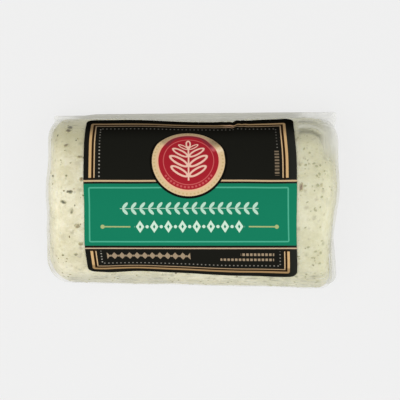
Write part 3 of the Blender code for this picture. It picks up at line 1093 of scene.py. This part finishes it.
def label_finish():
    n = Finish("label_print")
    u, v = n.flat_place("print")
    a, b = (u - 0.5) * 100, (v - 0.5) * 100
    # The gold ink, with painted shade at the bottom and top edges, where the sheet turns away from the light,
    # and a painted highlight on the top line near the pucker
    gold = n.coat(
        ink(214, 176, 124),
        (b.from_to(-6.4, -7.2), (168, 136, 94)),
        (b.from_to(32.0, 37.5) * (0.95 - a.from_to(0.0, 20.0) * 0.25), (126, 104, 76)),
        (band(a, 11.2, 1.2, 1.4) * b.from_to(34.0, 37.0) * 0.7, (214, 172, 138)),
    )
    pale_gold = n.coat(gold, (0.2, (226, 206, 180)))
    middle, half_way = (FRAME_TOP + LABEL_BOTTOM) / 2, (FRAME_TOP - LABEL_BOTTOM) / 2
    edge = round_box(a - FRAME_MIDDLE, b - middle, FRAME_HALF, half_way, LABEL_CORNER)
    panels = b.from_to(-0.95, -1.05).most(b.from_to(19.9, 20.0))
    # Painted shade: the black and the thin gold line are darker over the top, where the sheet turns away from
    # the light
    shaded_top = b.from_to(31.0, 39.0)
    green = within(b, GREEN_TOP, 0.05) * (1 - within(b, GREEN_BOTTOM, 0.05))
    colour = n.coat(
        ink(28, 28, 24),
        # Painted sheen on the black towards the right margin
        (a.from_to(25.5, 28.5) * 0.6, (44, 46, 42)),
        (shaded_top, (14, 13, 10)),
        (band(edge, -2.6, 0.25, 0.2), (42, 26, 12)),
        (band(edge, -1.92, 0.36) * panels, gold),
        (band(edge, -3.08, 0.15) * panels * (1 - shaded_top * 0.3), pale_gold),
        (dotted_frame(a, b) * panels, (190, 185, 172)),
        (green, (24, 125, 93)),
        (band(round_box(a + 0.5, b - 9.63, 27.5, 7.55, 0.3), 0.0, 0.2), (80, 174, 143)),
        (band(b, 0.0, 0.2), (202, 176, 146)),
        (band(b, UPPER_LINE, 0.24), (208, 178, 138)),
        (garland(a, b), (188, 222, 201)),
        (lozenges(a, b), (208, 234, 214)),
        (rules(a, b), (172, 184, 124)),
        (lower_ornament(a, b), (162, 142, 116)),
    )
    crinkle = n.streaks(260.0, 420.0, 420.0, roughness=0.55)
    grain = n.clouds(n.place(), 3500.0, 2.0)
    return n.finish(
        Base_Color=badge(n, colour, a, b), Roughness=0.38 + grain * 0.12,
        Normal=n.bump(crinkle, 0.3 * MM, 0.3), Specular_IOR_Level=0.0,
    )


def dotted_frame(a, b):
    """Rows of small dots inside the two gold lines, strongest at the left."""
    pitch, size = 1.12, 0.2
    side, low, high = FRAME_HALF - 4.45, LABEL_BOTTOM + 4.4, FRAME_TOP - 4.4
    from_middle = a - FRAME_MIDDLE
    sides = within(distance(repeated(b, pitch, low), abs(from_middle) - side), size, 0.1)
    sides = sides * band(b, (low + high) / 2, (high - low) / 2) * (0.8 - from_middle.from_to(-5.0, 5.0) * 0.4)
    sides = sides * (1 - b.from_to(28.0, 32.0) * 0.6)
    sides = sides * (1 - from_middle.from_to(-1.0, 1.0) * band(b, 24.6, 4.6))
    nearest = abs(b - low).least(abs(b - high))
    rows = within(distance(repeated(from_middle, pitch), nearest), size, 0.1)
    return sides.most(rows * band(from_middle, 0.0, side) * (0.5 - b.from_to(20.0, 30.0) * 0.3))


def garland(a, b):
    """A row of paired leaves on a thin stem."""
    cell = repeated(a, 2.4, PRINT_MIDDLE)
    leaves = leaf(cell, abs(b - GARLAND_ROW), (0.25, 0.85), (1.05, 0.42), 48)
    return leaves.most(band(b, GARLAND_ROW, 0.09)) * band(a, PRINT_MIDDLE, 19.15)


def lozenges(a, b):
    """A bolder row of lozenges with a dot between each two."""
    pitch = 3.9
    cell = abs(repeated(a, pitch, PRINT_MIDDLE))
    up = abs(b - LOZENGE_ROW)
    lozenge = (cell / 1.15 + up / 1.75).from_to(1.06, 0.94)
    hollow = (cell / 0.36 + up / 0.62).from_to(0.9, 1.1)
    dot = within(distance(pitch / 2 - cell, up), 0.45, 0.05)
    return (lozenge * hollow).most(dot) * band(a, PRINT_MIDDLE, 15.2)


def rules(a, b):
    """A short rule with a round end, on either side of the lozenges."""
    from_middle = abs(a - PRINT_MIDDLE)
    line = band(from_middle, 20.2, 3.9) * band(b, LOZENGE_ROW, 0.18)
    return line.most(within(distance(from_middle - 24.0, b - LOZENGE_ROW), 0.57))


def lower_ornament(a, b):
    """Tan ornament on the black panels: a saw-edged row, two short rows of dots, and a column of dashes."""
    cell = abs(repeated(a, 2.1, SAW_MIDDLE))
    teeth = (cell / 0.95 + abs(b - SAW_ROW) / 1.35).from_to(1.05, 0.93)
    studs = within(distance((1.05 - cell) * 1.9, b - SAW_ROW), 0.375, 0.075)
    teeth = teeth.most(studs) * band(a, SAW_MIDDLE, 11.5)
    blocks = band(repeated(a, 1.05), 0.0, 0.34)
    upper = band(b, -2.05, 0.42) * blocks * band(a, 18.0, 4.6)
    lower = band(b, -3.8, 0.42) * blocks * band(a, 15.1, 7.4)
    dashes = band(repeated(b, 0.95), 0.0, 0.28) * band(a, 24.0, 0.62) * band(b, 24.4, 3.8)
    return teeth.most(upper).most(lower).most(dashes * 0.55)


# Stage


def plain_floor():
    """A pale floor, lit from below as well, so that the log hardly shades it."""
    bm = bmesh.new()
    bmesh.ops.create_grid(bm, x_segments=2, y_segments=2, size=1.6)
    n = Finish("pale_floor")
    finish = n.finish(
        Base_Color=ink(105, 105, 105), Roughness=1.0, Specular_IOR_Level=0.0,
        Emission_Color=ink(237, 237, 237), Emission_Strength=FLOOR_GLOW,
    )
    finished("floor", bm, finish)


def soft_light(name, place, size, power):
    light = bpy.data.lights.new(name, "AREA")
    light.shape = "RECTANGLE"
    light.size, light.size_y = size
    light.energy = power
    obj = in_scene(name, light)
    obj.location = place
    obj.rotation_euler = (LIGHTS_AIM - Vector(place)).to_track_quat("-Z", "Y").to_euler()
    obj.visible_camera = False


def lights():
    world = bpy.data.worlds.new("soft_sky")
    world.use_nodes = True
    background = world.node_tree.nodes["Background"]
    background.inputs["Color"].default_value = (1.0, 1.0, 1.0, 1.0)
    background.inputs["Strength"].default_value = SKY_STRENGTH
    bpy.context.scene.world = world
    soft_light("key", (-0.05, -0.22, 1.3), (1.3, 0.9), KEY_POWER)
    soft_light("left_side", (-0.9, -0.05, 0.16), (0.8, 0.2), SIDE_POWER)
    soft_light("right_side", (0.9, -0.05, 0.16), (0.8, 0.2), SIDE_POWER)


def camera():
    data = bpy.data.cameras.new("camera")
    data.sensor_width = SENSOR_WIDTH
    data.lens = SENSOR_WIDTH * VIEW_DISTANCE / VIEW_WIDTH
    data.clip_start, data.clip_end = 0.01, 20.0
    obj = in_scene("camera", data)
    obj.location = CAMERA_PLACE
    bpy.context.scene.camera = obj
    bpy.context.scene.view_settings.view_transform = "Standard"


cheese = build_cheese()
specks, flakes, clumps = build_herbs(cheese)
film = build_film()
lip = build_lip()
label = build_label()
for piece, slot in (
    (cheese, "cheese_in_film"), (specks, "cheese_in_film"), (flakes, "cheese_in_film"),
    (clumps, "cheese_in_film"), (film, "clear_film"), (lip, "clear_film"), (label, "label_print"),
):
    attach(piece, "root")
for piece in (cheese, film, lip):
    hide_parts("sealed_pack")
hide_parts("label")
plain_floor()
lights()
camera()
